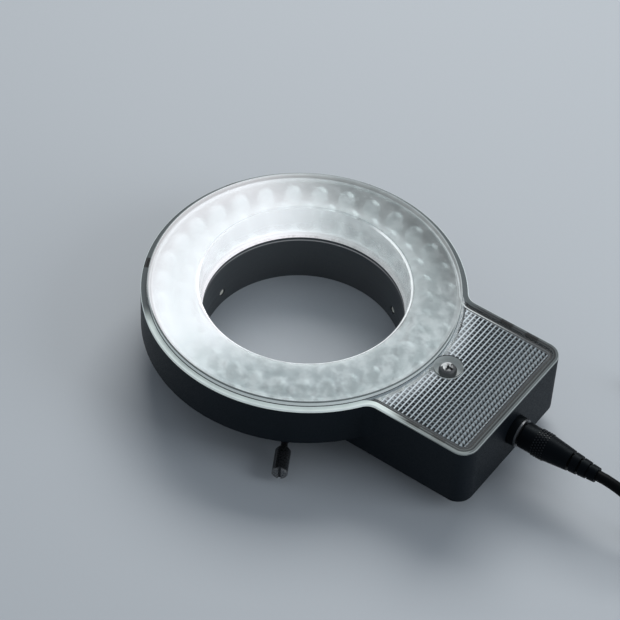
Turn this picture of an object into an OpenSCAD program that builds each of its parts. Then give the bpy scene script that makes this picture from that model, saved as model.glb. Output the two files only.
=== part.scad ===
// Ring light that clamps round a stereo microscope's objective, with its low voltage lead.
// Millimetres. The ring axis is Z, the light shines towards +Z and the box points along +X.
// The origin is on the ring axis, in the plane of the mounting collar's lower edge.

/* [Ring body] */
// Outer diameter of the ring body
ring_d = 100; // [98:0.5:106]
// Height of the housing's rim above the collar's lower edge
rim_z = 27.1; // [26.6:0.1:30]
// Height of the ring body's underside
ring_base_z = 13.4; // [12.4:0.1:14]
// Thickness of the housing's walls
wall = 2; // [1.6:0.1:2.4]
// Thickness of the housing's floors
floor_t = 1.4; // [1.2:0.1:1.8]

/* [Box] */
// How far the box reaches past the ring
box_l = 27.1; // [25.5:0.1:34]
// Width of the box
box_w = 52.8; // [50:0.2:58]
// Height of the box's underside
box_base_z = 5.8; // [3:0.1:6.4]
// Radius of the box's two upright corners
box_corner_r = 5; // [4.5:0.5:8]
// Radius of the hollow corner between ring and box
neck_fillet_r = 4.5; // [3:0.5:8]

/* [Mounting collar] */
// Bore that goes round the microscope
bore_d = 62.4; // [60:0.1:63]
// Height of the collar's upper edge, where the cover's funnel sits
collar_top_z = 17.4; // [16.6:0.1:18.4]
// Wall of the collar below the housing, where the thumbscrews are threaded
collar_wall = 5; // [4:0.1:5.5]
// Wall of the collar above its flange
seat_wall = 2.6; // [2:0.1:2.8]
// Width of the flange that is screwed under the ring body
collar_flange_w = 4.8; // [4.6:0.1:5.2]
// Thickness of that flange
collar_flange_t = 1.8; // [1.4:0.1:2.4]

/* [Thumbscrews] */
// Height of the thumbscrews' axes
screw_z = 4.6; // [3.6:0.1:6]
// Thread diameter
screw_d = 2.5; // [2:0.1:3]
// Diameter of the neck between thread and knob
neck_d = 2.1; // [1.6:0.1:2.4]
// Length of the neck
neck_l = 2.7; // [1.5:0.1:4]
// Diameter of the knob
knob_d = 4.8; // [4:0.1:6]
// Length of the knob
knob_l = 10; // [8:0.5:12]
// Distance from the ring axis to the knob's outer end
knob_end_r = 55.2; // [54:0.1:60]
// Width of the screwdriver slot in the knob's end
slot_w = 0.8; // [0.5:0.1:1.2]
// Diameter of the swivelling pad on the screw's tip
tip_d = 2; // [1.6:0.1:2]
// How far the pad lies back from the bore
tip_recess = 0.3; // [0.2:0.1:0.6]

/* [Cover] */
// Thickness of the cover's flange on the rim
cover_flange_t = 0.6; // [0.5:0.1:1.2]
// Height of the raised ring above the flange
tier_h = 1.8; // [1.4:0.1:2.4]
// How far the raised ring lies in from the ring's outline
tier_inset = 2; // [1:0.1:3]
// Thickness of the raised ring's top
tier_t = 1.4; // [1:0.1:1.6]
// Thickness of the cover's plate over the box
plate_t = 1.2; // [1:0.1:1.6]
// Diameter at which the funnel's slope meets the height of the cover's top
funnel_top_d = 64.4; // [63.8:0.1:66.4]
// Radius of the round edge between the funnel and the cover's top
funnel_edge_r = 1.6; // [0.8:0.1:1.8]
// Wall of the funnel
funnel_t = 1.4; // [1:0.1:1.6]
// Depth of the rib that centres the cover in the housing
rib_h = 2; // [1:0.1:3]
// Thickness of that rib
rib_t = 1.2; // [0.8:0.1:1.6]
// Width of the tongues that hold the cover in notches of the rim
tongue_w = 4; // [2:0.1:5]
// How deep the notches go into the wall
notch_d = 1.1; // [0.6:0.1:1.2]
// Height of the tongues
tongue_h = 1.6; // [1:0.1:2]
// Diameter of the recess round the cover screw
recess_d = 9; // [8:0.1:10]
// Depth of that recess
recess_depth = 2.5; // [2.2:0.1:3]
// Thickness of the cup round that recess
cup_t = 1.2; // [0.8:0.1:1.4]
// How far outside the ring's circle the cover screw lies
cover_screw_out = 2.6; // [2.4:0.1:3.4]
// Thread diameter of the cover screw
cover_screw_d = 3; // [2.5:0.1:3.2]
// Length of the cover screw below its head
cover_screw_l = 8; // [6:0.5:10]

/* [Lamps] */
// Lamps in each of the two rows
lamps_per_row = 32; // [24:4:32]
// Diameter of a lamp's lens
lamp_d = 5; // [4.6:0.1:5]
// Height of a lamp
lamp_h = 8.6; // [7.6:0.1:8.8]
// Thickness of the lamp board
lamp_board_t = 1.6; // [1:0.1:1.6]
// Height of the ribs that carry the lamp board
board_lift = 1; // [0.8:0.1:1.2]

/* [Driver] */
// Thickness of the driver board
driver_board_t = 1.6; // [1:0.1:2]
// Width of the driver board
driver_board_w = 42; // [40:0.5:44]
// Height of the bosses below the driver board
driver_lift = 1.1; // [0.8:0.1:1.6]
// Diameter of the inductor
inductor_d = 9; // [7:0.5:10]
// Height of the inductor
inductor_h = 6; // [4:0.5:8]
// Diameter of a capacitor
capacitor_d = 6.3; // [5:0.1:6.6]
// Height of a capacitor
capacitor_h = 9; // [7:0.5:11]

/* [Power socket and plugs] */
// Height of the socket's axis
socket_z = 16.7; // [15:0.1:18]
// Diameter of the sleeve round the socket's mouth
sleeve_d = 9.4; // [9:0.1:11]
// How far the sleeve stands out of the box
sleeve_out = 2.4; // [1.5:0.1:4]
// Thickness of the bright ring on the sleeve's mouth
bezel_t = 0.6; // [0.4:0.1:1]
// Outer diameter of the plug's barrel
barrel_d = 5.5; // [5:0.1:5.7]
// Length of the plug's barrel
barrel_l = 9.5; // [8.5:0.1:10]
// Diameter of the contact pin in the socket
pin_d = 2; // [1.6:0.1:2.4]
// Diameter of the plug's grip
plug_d = 8.3; // [7.6:0.1:9]
// Length of the plug's grip
grip_l = 9; // [7:0.5:12]
// Diameter at the narrow end of the plug's taper
plug_end_d = 6.6; // [6:0.1:7.2]
// Length of the taper
taper_l = 7.6; // [6:0.1:10]

/* [Lead] */
// Diameter of the lead
lead_d = 3.4; // [3:0.1:3.6]
// Distance from the middle of one turn of the coil to the next
turn_step = 4.4; // [4.3:0.1:5]
// Distance from one layer of the coil to the next
layer_step = 4.2; // [4.1:0.1:5]
// Radius at the middle of the coil's turns
coil_mid_r = 19.6; // [18.5:0.1:20.4]
// Thickness of the tie round the coil
tie_t = 0.5; // [0.4:0.1:0.8]
// Width of the tie
tie_w = 6; // [4:0.5:9]

/* [Hidden] */
$fn = 64;

black = [0.07, 0.08, 0.09];
clear = [0.80, 0.86, 0.86, 0.5];
frosted = [0.93, 0.96, 0.97];
green = [0.10, 0.30, 0.20];
bright = [0.75, 0.76, 0.78];
ivory = [0.90, 0.88, 0.80];
brass = [0.78, 0.63, 0.30];

// Clearances
fit_gap = 0.1;       // between pieces that are fastened into each other
run_gap = 0.05;      // radial, where a piece turns or slides in another
free_gap = 0.3;      // between pieces that move past each other
trim_gap = 0.4;      // between parts laid side by side
over = 1;            // how far a cutting shape runs past the face it cuts

// Ring and box
ring_r = ring_d / 2;
box_hw = box_w / 2;
box_end_x = ring_r + box_l;
ring_floor_z = ring_base_z + floor_t;
box_floor_z = box_base_z + floor_t;
fillet_y = box_hw + neck_fillet_r;
fillet_x = sqrt(pow(ring_r + neck_fillet_r, 2) - pow(fillet_y, 2));

// Collar
bore_r = bore_d / 2;
collar_r = bore_r + collar_wall;
seat_r = bore_r + seat_wall;
flange_r = collar_r + collar_flange_w;
flange_z = ring_base_z - collar_flange_t;
flange_screw_r = collar_r + collar_flange_w / 2;
flange_screw_angles = [0, 120, 240];
collar_chamfer = 0.4;

// Small screws, thread and head
small_screw_d = 2.5;
small_head_d = 4.4;
small_head_h = 1.6;
small_boss_d = 6;
small_screw_l = collar_flange_t + floor_t + board_lift - free_gap;

// Cover
cover_top_z = rim_z + cover_flange_t + tier_h;
funnel_top_r = funnel_top_d / 2;
tier_r = ring_r - tier_inset;
plate_z = rim_z + cover_flange_t;
cover_screw_x = ring_r + cover_screw_out;
funnel_slope = (funnel_top_r - bore_r) / (cover_top_z - collar_top_z);
funnel_lean = atan(funnel_slope);
edge_x = funnel_top_r + funnel_edge_r * (1 / cos(funnel_lean) - funnel_slope);
edge_z = cover_top_z - funnel_edge_r;
edge_steps = 6;
rib_inset = wall + fit_gap;
tier_in_r = min(tier_r - tier_t, ring_r - rib_inset - rib_t);
tongue_angles = [103, 154, -154, -103];
tongue_xs = [ring_r + 7, ring_r + 16];
insert_d = 4.4;
insert_l = 6;
boss_d = 7;
cover_head_d = 5.5;
cover_head_h = 2;
head_z = plate_z - recess_depth;
boss_top_z = head_z - cup_t;
cross_w = 0.9;
cross_l = 3.2;
cross_depth = 1.2;

// Lamps
lamp_flange_d = lamp_d + 0.8;
lamp_flange_t = 1;
lamp_wall_gap = 1.1;
lamp_bore_gap = 1.7;
lamp_board_z = ring_floor_z + board_lift;
lamp_z = lamp_board_z + lamp_board_t;
outer_row_r = ring_r - wall - lamp_flange_d / 2 - lamp_wall_gap;
inner_row_r = bore_r + funnel_t + lamp_flange_d / 2 + lamp_bore_gap;
lamp_pitch = 360 / lamps_per_row;
lamps_per_segment = lamps_per_row / 4;
first_segment_angle = 26.6;
lamp_board_r = ring_r - wall - trim_gap;
lamp_board_bore_r = seat_r + trim_gap;
tab_end_x = cover_screw_x - 0.8;
tab_w = 42;
tab_screw_x = cover_screw_x - 3.4;
tab_screw_y = 7.5;
board_ribs = 8;
board_rib_w = 1.4;
rib_root = floor_t / 2;
board_rib_in = flange_screw_r + small_boss_d / 2;
board_rib_out = lamp_board_r - trim_gap;

// Connector and wires between the two boards
wire_d = 1.2;
wire_step = 1.8;
wire_count = 5;
wire_y = -15.5;
wire_bend_r = 3.5;
connector_w = wire_step * wire_count + 0.2;
connector_l = 4.6;
connector_h = 6;
connector_x = tab_end_x - 0.6 - connector_l;
wire_z = lamp_z + connector_h / 2;
resistor_count = 5;
resistor_size = [3.2, 1.2, 0.6];
resistor_step = 1.9;
resistor_y = 11.6;

// Driver board
driver_x0 = cover_screw_x + boss_d / 2 + 0.8;
driver_x1 = box_end_x - wall - 0.5;
driver_z = box_floor_z + driver_lift;
driver_top_z = driver_z + driver_board_t;
driver_boss_d = 5;
driver_screw_d = 2;
driver_head_d = 3.8;
driver_head_h = 1.4;
driver_hole_in = 2.5;
driver_screw_y = driver_board_w / 2 - driver_hole_in;
driver_screw_places = [
    [driver_x0 + driver_hole_in, driver_screw_y],
    [driver_x1 - driver_hole_in, driver_screw_y],
    [driver_x1 - driver_hole_in, -driver_screw_y]
];
header_l = 3;
header_h = 5;
header_x = driver_x0 + 0.2;
wire_down_x = header_x + header_l / 2;

// Socket
socket_body_w = 9;
socket_body_l = 12.4;
socket_body_top = 4.5;
socket_depth = barrel_l + 1.4;
socket_mouth_x = box_end_x + sleeve_out;
bezel_x = socket_mouth_x + bezel_t;
socket_bore_r = barrel_d / 2 + run_gap;
bezel_d = sleeve_d - 0.3;
pin_clear = 1.2;

// Plugs
plug_x = bezel_x + free_gap;
relief_rings = 3;
relief_step = 3;
relief_groove = 0.7;
relief_first_d = 6.3;
relief_last_d = 4.7;
plug_l = grip_l + taper_l + relief_rings * relief_step;
grip_edge = 0.4;

// Thumbscrews, measured outwards from the ring axis
screw_angles = [60, 180, -61];
screw_hole_r = screw_d / 2 + run_gap;
tip_r0 = bore_r + tip_recess;
tip_l = 1.5;
tip_bore_l = 1;
nose_d = 1;
nose_l = tip_bore_l;
thread_r0 = tip_r0 + tip_l + free_gap;
knob_r0 = knob_end_r - knob_l;
neck_r0 = knob_r0 - neck_l;
shoulder_d = 3.2;
shoulder_l = 1.2;
knob_edge = 0.3;
slot_depth = 0.8;

// Lead: the stretch from the plug to the coil and the stretch from the coil to the far plug
lead_r = lead_d / 2;
cord_sides = 8;
coil_sides = 6;
plug_end_x = plug_x + plug_l;
coil_x = plug_end_x + 60;
layers = 4;
turns_per_layer = 2.5;
rings_per_turn = 24;
tie_gap = 0.4;
coil_z = tie_t + tie_gap + lead_r;
coil_in_r = coil_mid_r - turns_per_layer * turn_step / 2;
coil_out_r = coil_mid_r + turns_per_layer * turn_step / 2;
coil_y = coil_out_r;
coil_start_angle = 270;
coil_end_z = coil_z + (layers - 1) * layer_step;
far_plug_x = plug_end_x + 24;
far_plug_z = plug_d / 2;
// Distance along X from the plug's end or from the coil, and share of the height that is still to fall
cable_fall = [
    [0, 1], [3.4, 1], [8, 0.945], [13, 0.82], [18, 0.638], [23, 0.447], [28, 0.262], [33, 0.121],
    [39, 0.028], [46, 0], [51, 0]
];
tail_fall = [
    [0, 1], [3.6, 1], [8.6, 0.89], [13.6, 0.692], [18.6, 0.457], [23.6, 0.213], [26.6, 0.077], [29.2, 0]
];
coil_lead_x = coil_x - lead_d;
cable_route = concat(
    [for (p = cable_fall) [plug_end_x + p[0], 0, coil_z + p[1] * (socket_z - coil_z)]],
    [[coil_lead_x, 0, coil_z]]
);
tail_route = concat(
    [for (p = tail_fall) [coil_lead_x - p[0], 2 * coil_y, far_plug_z + p[1] * (coil_end_z - far_plug_z)]],
    [[far_plug_x, 2 * coil_y, far_plug_z]]
);

// Points of the coil. A layer spirals in or out at a steady rate and then climbs in half a turn.
layer_steps = turns_per_layer * rings_per_turn;
climb_steps = rings_per_turn / 2;
period = layer_steps + climb_steps;
coil_steps = layers * layer_steps + (layers - 1) * climb_steps;
function coil_layer(i) = floor(i / period);
function coil_phase(i) = i - coil_layer(i) * period;
function coil_inward(i) = coil_layer(i) % 2 == 0;
function coil_run(i) = min(coil_phase(i), layer_steps) / layer_steps;
function coil_radius(i) =
    coil_inward(i)
    ? coil_out_r - (coil_out_r - coil_in_r) * coil_run(i)
    : coil_in_r + (coil_out_r - coil_in_r) * coil_run(i);
function coil_height(i) =
    coil_z + layer_step * (coil_layer(i) + max(0, coil_phase(i) - layer_steps) / climb_steps);
function coil_angle(i) = coil_start_angle + 360 * i / rings_per_turn;
function coil_point(i) = [
    coil_x + coil_radius(i) * cos(coil_angle(i)),
    coil_y + coil_radius(i) * sin(coil_angle(i)),
    coil_height(i)
];
coil_turns = [for (i = [0:coil_steps]) coil_point(i)];
coil_first = coil_turns[0];
coil_last = coil_turns[coil_steps];
coil_route = concat([coil_first - [lead_d, 0, 0]], coil_turns, [coil_last - [lead_d, 0, 0]]);

function unit(v) = v / norm(v);
function last(list) = len(list) - 1;
function direction(route, i) = unit(route[min(i + 1, last(route))] - route[max(i - 1, 0)]);
function route_length(route) = sum([for (i = [1:last(route)]) norm(route[i] - route[i - 1])]);
function sum(list, i = 0) = i > last(list) ? 0 : list[i] + sum(list, i + 1);

// Least distance between points of the coil that are at least half a turn apart
coil_gap = min([
    for (i = [0:coil_steps - climb_steps])
        min([for (j = [i + climb_steps:coil_steps]) norm(coil_turns[j] - coil_turns[i])])
]) - lead_d;
cord_length = route_length(cable_route) + route_length(coil_route) + route_length(tail_route);
echo(coil_least_gap_mm = coil_gap);
echo(cord_length_mm = cord_length);

// A tube with flat ends along a route that never points straight up
module tube(route, r, sides) {
    rings = [
        for (i = [0:last(route)])
            let (t = direction(route, i), s = unit(cross(t, [0, 0, 1])), u = cross(s, t))
            for (k = [0:sides - 1])
                route[i] + r * (cos(360 * k / sides) * s + sin(360 * k / sides) * u)
    ];
    sides_faces = [
        for (i = [0:last(route) - 1])
            for (k = [0:sides - 1])
                let (a = i * sides + k, b = i * sides + (k + 1) % sides)
                for (face = [[a, b, b + sides], [a, b + sides, a + sides]]) face
    ];
    base = last(route) * sides;
    first_cap = [for (k = [1:sides - 2]) [0, k + 1, k]];
    last_cap = [for (k = [1:sides - 2]) [base, base + k, base + k + 1]];
    polyhedron(points = rings, faces = concat(sides_faces, first_cap, last_cap));
}

// Outline of the box alone, drawn in by m, from the ring axis to the end face
module box_outline(m) {
    r = box_corner_r - m;
    hw = box_hw - m;
    end_x = box_end_x - m;
    translate([0, -hw]) square([end_x - r, 2 * hw]);
    translate([0, r - hw]) square([end_x, 2 * (hw - r)]);
    for (y = [r - hw, hw - r]) translate([end_x - r, y]) circle(r);
}

// Hollow corner between ring and box on the +Y side, drawn in by m
module neck(m) {
    reach = (ring_r - m) / (ring_r + neck_fillet_r);
    difference() {
        polygon([
            [fillet_x * reach, fillet_y * reach],
            [fillet_x * reach, 0],
            [fillet_x, 0],
            [fillet_x, fillet_y]
        ]);
        translate([fillet_x, fillet_y]) circle(neck_fillet_r + m);
    }
}

// Outline of ring and box together, drawn in by m
module outline(m) {
    circle(ring_r - m);
    box_outline(m);
    neck(m);
    mirror([0, 1]) neck(m);
}

// Outline of the deeper part of the box, which stops short of the collar's flange
module deep_box_outline(m) {
    difference() {
        box_outline(m);
        circle(flange_r + trim_gap + m);
    }
}

module post(place, z0, z1, d) {
    translate([place[0], place[1], z0]) cylinder(d = d, h = z1 - z0);
}

// Pan head screw along +Z, head up, with the underside of its head at z = 0
module pan_screw(d, l, head_d, head_h) {
    difference() {
        union() {
            translate([0, 0, -l]) cylinder(d = d, h = l);
            rotate_extrude() polygon([
                [0, 0],
                [head_d / 2, 0],
                [head_d / 2, head_h * 0.45],
                [head_d * 0.42, head_h * 0.8],
                [head_d * 0.28, head_h],
                [0, head_h]
            ]);
        }
        for (a = [0, 90])
            rotate([0, 0, a])
                translate([-cross_l * head_d / cover_head_d / 2, -cross_w * head_d / cover_head_d / 2,
                    head_h - cross_depth * head_h / cover_head_h])
                    cube([cross_l * head_d / cover_head_d, cross_w * head_d / cover_head_d, head_h]);
    }
}

// Places of the cover's tongues, with +X outwards from the outline and z = 0 at the rim
module at_tongues() {
    for (a = tongue_angles) rotate([0, 0, a]) translate([ring_r, 0, rim_z]) children();
    for (x = tongue_xs)
        for (side = [-1, 1])
            translate([x, side * box_hw, rim_z]) rotate([0, 0, 90 * side]) children();
}

tab_screw_places = [[tab_screw_x, tab_screw_y], [tab_screw_x, -tab_screw_y]];
cover_screw_place = [cover_screw_x, 0];

module housing() {
    color(black) difference() {
        union() {
            difference() {
                union() {
                    translate([0, 0, ring_base_z]) linear_extrude(rim_z - ring_base_z) outline(0);
                    translate([0, 0, box_base_z])
                        linear_extrude(ring_floor_z - box_base_z) deep_box_outline(0);
                }
                translate([0, 0, ring_floor_z]) linear_extrude(rim_z - ring_floor_z + over) outline(wall);
                translate([0, 0, box_floor_z])
                    linear_extrude(ring_floor_z - box_floor_z + over) deep_box_outline(wall);
            }
            for (a = flange_screw_angles)
                rotate([0, 0, a]) post([flange_screw_r, 0], ring_floor_z, lamp_board_z, small_boss_d);
            for (k = [0:board_ribs - 1])
                rotate([0, 0, 360 * (k + 0.5) / board_ribs])
                    translate([board_rib_in, -board_rib_w / 2, ring_floor_z - rib_root])
                        cube([board_rib_out - board_rib_in, board_rib_w, board_lift + rib_root]);
            for (p = tab_screw_places) post(p, box_floor_z, lamp_board_z, small_boss_d);
            for (p = driver_screw_places) post(p, box_floor_z, driver_z, driver_boss_d);
            post(cover_screw_place, box_floor_z, boss_top_z, boss_d);
        }
        translate([0, 0, ring_base_z - over])
            cylinder(r = seat_r + fit_gap, h = floor_t + board_lift + 2 * over);
        for (a = flange_screw_angles)
            rotate([0, 0, a])
                post([flange_screw_r, 0], ring_base_z - over, lamp_board_z + over, small_screw_d + fit_gap);
        for (p = tab_screw_places)
            post(p, lamp_board_z - small_screw_l, lamp_board_z + over, small_screw_d + fit_gap);
        for (p = driver_screw_places)
            post(p, box_floor_z, driver_z + over, driver_screw_d + fit_gap);
        post(cover_screw_place, boss_top_z - cover_screw_l, boss_top_z + over, cover_screw_d + fit_gap);
        post(cover_screw_place, boss_top_z - insert_l, boss_top_z + over, insert_d + fit_gap);
        translate([box_end_x - wall - over, 0, socket_z])
            rotate([0, 90, 0]) cylinder(d = sleeve_d + 2 * fit_gap, h = wall + 2 * over);
        at_tongues()
            translate([-wall - over, -tongue_w / 2 - fit_gap, -tongue_h - fit_gap])
                cube([over + notch_d, tongue_w + 2 * fit_gap, tongue_h + fit_gap + over]);
    }
}

module mounting_collar() {
    color(black) difference() {
        rotate_extrude() polygon([
            [bore_r, 0],
            [collar_r - collar_chamfer, 0],
            [collar_r, collar_chamfer],
            [collar_r, flange_z],
            [flange_r, flange_z],
            [flange_r, ring_base_z],
            [seat_r, ring_base_z],
            [seat_r, collar_top_z],
            [bore_r, collar_top_z]
        ]);
        for (a = screw_angles)
            rotate([0, 0, a]) translate([bore_r - over, 0, screw_z])
                rotate([0, 90, 0]) cylinder(r = screw_hole_r, h = collar_wall + 2 * over);
        for (a = flange_screw_angles)
            rotate([0, 0, a])
                post([flange_screw_r, 0], flange_z - over, ring_base_z + over, small_screw_d + 2 * fit_gap);
    }
}

module collar_screws() {
    color(bright)
        for (a = flange_screw_angles)
            rotate([0, 0, a]) translate([flange_screw_r, 0, flange_z]) rotate([180, 0, 0])
                pan_screw(small_screw_d, small_screw_l, small_head_d, small_head_h);
}

module cover() {
    under_r = bore_r + funnel_slope * (rim_z - collar_top_z);
    throat_r = min(bore_r, under_r);
    tongue_in = rib_inset + rib_t / 2;
    color(clear) difference() {
        union() {
            translate([0, 0, rim_z]) linear_extrude(cover_flange_t) outline(0);
            translate([0, 0, plate_z - plate_t]) linear_extrude(plate_t) outline(rib_inset);
            translate([0, 0, rim_z]) cylinder(r = tier_r, h = cover_flange_t + tier_h);
            translate([0, 0, rim_z - rib_h]) linear_extrude(rib_h) difference() {
                outline(rib_inset);
                outline(rib_inset + rib_t);
            }
            rotate_extrude() polygon([
                [throat_r, collar_top_z],
                [bore_r + funnel_t, collar_top_z],
                [under_r + funnel_t, rim_z],
                [under_r + funnel_t, plate_z],
                [throat_r, plate_z]
            ]);
            post(cover_screw_place, boss_top_z, rim_z, recess_d + 2 * cup_t);
            at_tongues()
                translate([-tongue_in, -tongue_w / 2, -tongue_h])
                    cube([tongue_in - wall + notch_d - fit_gap, tongue_w, tongue_h + cover_flange_t / 2]);
        }
        rotate_extrude() polygon(concat(
            [
                [0, collar_top_z - over],
                [bore_r, collar_top_z - over],
                [bore_r, collar_top_z]
            ],
            [
                for (i = [0:edge_steps])
                    let (a = 180 - funnel_lean - (90 - funnel_lean) * i / edge_steps)
                    [edge_x + funnel_edge_r * cos(a), edge_z + funnel_edge_r * sin(a)]
            ],
            [
                [edge_x, cover_top_z + over],
                [0, cover_top_z + over]
            ]
        ));
        translate([0, 0, plate_z - plate_t - over])
            linear_extrude(cover_top_z - tier_t - plate_z + plate_t + over) difference() {
                circle(tier_in_r);
                circle(max(bore_r, under_r) + funnel_t);
            }
        post(cover_screw_place, head_z, plate_z + over, recess_d);
        post(cover_screw_place, boss_top_z - over, plate_z + over, cover_screw_d + 4 * fit_gap);
    }
}

module cover_screw() {
    color(bright) translate([cover_screw_x, 0, head_z])
        pan_screw(cover_screw_d, cover_screw_l, cover_head_d, cover_head_h);
}

module cover_insert() {
    color(brass) difference() {
        post(cover_screw_place, boss_top_z - insert_l, boss_top_z, insert_d);
        post(cover_screw_place, boss_top_z - insert_l - over, boss_top_z + over, cover_screw_d + fit_gap);
    }
}

module lamp_board() {
    color(ivory) translate([0, 0, lamp_board_z]) linear_extrude(lamp_board_t) difference() {
        union() {
            circle(lamp_board_r);
            translate([0, -tab_w / 2]) square([tab_end_x, tab_w]);
        }
        circle(lamp_board_bore_r);
        translate(cover_screw_place) circle(d = boss_d + 2 * trim_gap);
        for (p = tab_screw_places) translate(p) circle(d = small_screw_d + 2 * fit_gap);
    }
}

// One lamp standing on the lamp board
module lamp() {
    cylinder(d = lamp_flange_d, h = lamp_flange_t);
    cylinder(d = lamp_d, h = lamp_h - lamp_d / 2);
    translate([0, 0, lamp_h - lamp_d / 2]) sphere(d = lamp_d);
}

// A quarter of both rows. The rows are half a pitch apart.
module lamp_segment(k) {
    start = first_segment_angle + 90 * (k - 1);
    color(frosted)
        for (i = [0:lamps_per_segment - 1]) {
            rotate([0, 0, start + (i + 0.25) * lamp_pitch]) translate([outer_row_r, 0, lamp_z]) lamp();
            rotate([0, 0, start + (i + 0.75) * lamp_pitch]) translate([inner_row_r, 0, lamp_z]) lamp();
        }
}

module lamp_board_screws() {
    color(bright)
        for (p = tab_screw_places)
            translate([p[0], p[1], lamp_z])
                pan_screw(small_screw_d, small_screw_l, small_head_d, small_head_h);
}

module lamp_resistors() {
    color(black)
        for (i = [0:resistor_count - 1])
            translate([tab_end_x - 0.6 - resistor_size[0], resistor_y + i * resistor_step, lamp_z])
                cube(resistor_size);
}

module lamp_connector() {
    color(ivory) difference() {
        translate([connector_x, wire_y - connector_w / 2, lamp_z])
            cube([connector_l, connector_w, connector_h]);
        for (i = [0:wire_count - 1])
            translate([connector_x + connector_l, wire_place(i), wire_z]) rotate([0, -90, 0])
                cylinder(d = wire_d + 2 * fit_gap, h = connector_l / 2);
    }
}

function wire_place(i) = wire_y + (i - (wire_count - 1) / 2) * wire_step;

module lamp_harness() {
    start_x = connector_x + connector_l / 2;
    bend_x = wire_down_x - wire_bend_r;
    color("firebrick")
        for (i = [0:wire_count - 1]) translate([0, wire_place(i), 0]) {
            translate([start_x, 0, wire_z]) rotate([0, 90, 0]) cylinder(d = wire_d, h = bend_x - start_x);
            translate([bend_x, 0, wire_z - wire_bend_r]) rotate([90, 0, 0])
                rotate_extrude(angle = 90) translate([wire_bend_r, 0]) circle(d = wire_d);
            post([wire_down_x, 0], driver_top_z + header_h, wire_z - wire_bend_r, wire_d);
        }
}

module driver_board() {
    color(green) translate([0, 0, driver_z]) linear_extrude(driver_board_t) difference() {
        translate([driver_x0, -driver_board_w / 2]) square([driver_x1 - driver_x0, driver_board_w]);
        for (p = driver_screw_places) translate(p) circle(d = driver_screw_d + 2 * fit_gap);
    }
}

module driver_board_screws() {
    color(bright)
        for (p = driver_screw_places)
            translate([p[0], p[1], driver_top_z])
                pan_screw(driver_screw_d, driver_board_t + driver_lift - fit_gap, driver_head_d, driver_head_h);
}

module driver_header() {
    color(ivory) translate([header_x, wire_y - connector_w / 2, driver_top_z])
        cube([header_l, connector_w, header_h]);
}

// Drum core inductor with a waist
module driver_inductor() {
    rim = inductor_h / 5;
    waist = inductor_d / 8;
    r = inductor_d / 2;
    y = -socket_body_w / 2 - trim_gap - r;
    color([0.20, 0.19, 0.18]) translate([driver_x1 - driver_hole_in - r, y, driver_top_z])
        rotate_extrude() polygon([
            [0, 0],
            [r, 0],
            [r, rim],
            [r - waist, rim],
            [r - waist, inductor_h - rim],
            [r, inductor_h - rim],
            [r, inductor_h],
            [0, inductor_h]
        ]);
}

module driver_capacitors() {
    r = capacitor_d / 2;
    edge = 0.4;
    color([0.12, 0.13, 0.2])
        for (i = [0, 1])
            translate([(driver_x0 + driver_x1) / 2 + 2 * i, socket_body_w / 2 + 1 + r + i * (capacitor_d + 0.4),
                driver_top_z])
                rotate_extrude() polygon([
                    [0, 0],
                    [r, 0],
                    [r, capacitor_h - edge],
                    [r - edge, capacitor_h],
                    [0, capacitor_h]
                ]);
}

module driver_chips() {
    chip = [2.6, 4, 1.5];
    color(black)
        for (y = [-4.6, 0.6])
            translate([header_x, y, driver_top_z]) cube(chip);
}

module dc_socket() {
    body_x0 = socket_mouth_x - socket_depth - 1.5;
    color(black) difference() {
        union() {
            translate([body_x0, -socket_body_w / 2, driver_top_z])
                cube([box_end_x - wall - fit_gap - body_x0, socket_body_w,
                    socket_z + socket_body_top - driver_top_z]);
            translate([body_x0 + socket_body_l / 2, 0, socket_z]) rotate([0, 90, 0])
                cylinder(d = sleeve_d, h = socket_mouth_x - body_x0 - socket_body_l / 2);
        }
        translate([socket_mouth_x - socket_depth, 0, socket_z]) rotate([0, 90, 0])
            cylinder(r = socket_bore_r, h = socket_depth + over);
    }
}

module socket_bezel() {
    color(bright) translate([socket_mouth_x, 0, socket_z]) rotate([0, 90, 0]) difference() {
        cylinder(d = bezel_d, h = bezel_t);
        translate([0, 0, -over]) cylinder(r = socket_bore_r + free_gap, h = bezel_t + 2 * over);
    }
}

module socket_pin() {
    color(bright) translate([socket_mouth_x - socket_depth, 0, socket_z]) rotate([0, 90, 0])
        cylinder(d = pin_d, h = socket_depth - pin_clear);
}

// Thumbscrew k along its own axis, from its nose outwards
module thumbscrew(k) {
    color(black) rotate([0, 0, screw_angles[k - 1]]) translate([0, 0, screw_z]) rotate([0, 90, 0])
        difference() {
            rotate_extrude() polygon([
                [0, thread_r0 - nose_l],
                [nose_d / 2, thread_r0 - nose_l],
                [nose_d / 2, thread_r0],
                [screw_d / 2, thread_r0],
                [screw_d / 2, neck_r0],
                [neck_d / 2, neck_r0],
                [neck_d / 2, knob_r0],
                [shoulder_d / 2, knob_r0],
                [knob_d / 2, knob_r0 + shoulder_l],
                [knob_d / 2, knob_end_r - knob_edge],
                [knob_d / 2 - knob_edge, knob_end_r],
                [0, knob_end_r]
            ]);
            translate([-knob_d, -slot_w / 2, knob_end_r - slot_depth])
                cube([2 * knob_d, slot_w, slot_depth + over]);
        }
}

// Pad that swivels on the screw's nose and presses on the microscope
module thumbscrew_tip(k) {
    color(ivory) rotate([0, 0, screw_angles[k - 1]]) translate([tip_r0, 0, screw_z]) rotate([0, 90, 0])
        difference() {
            cylinder(d = tip_d, h = tip_l);
            translate([0, 0, tip_l - tip_bore_l])
                cylinder(r = nose_d / 2 + run_gap, h = tip_bore_l + over);
        }
}

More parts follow.
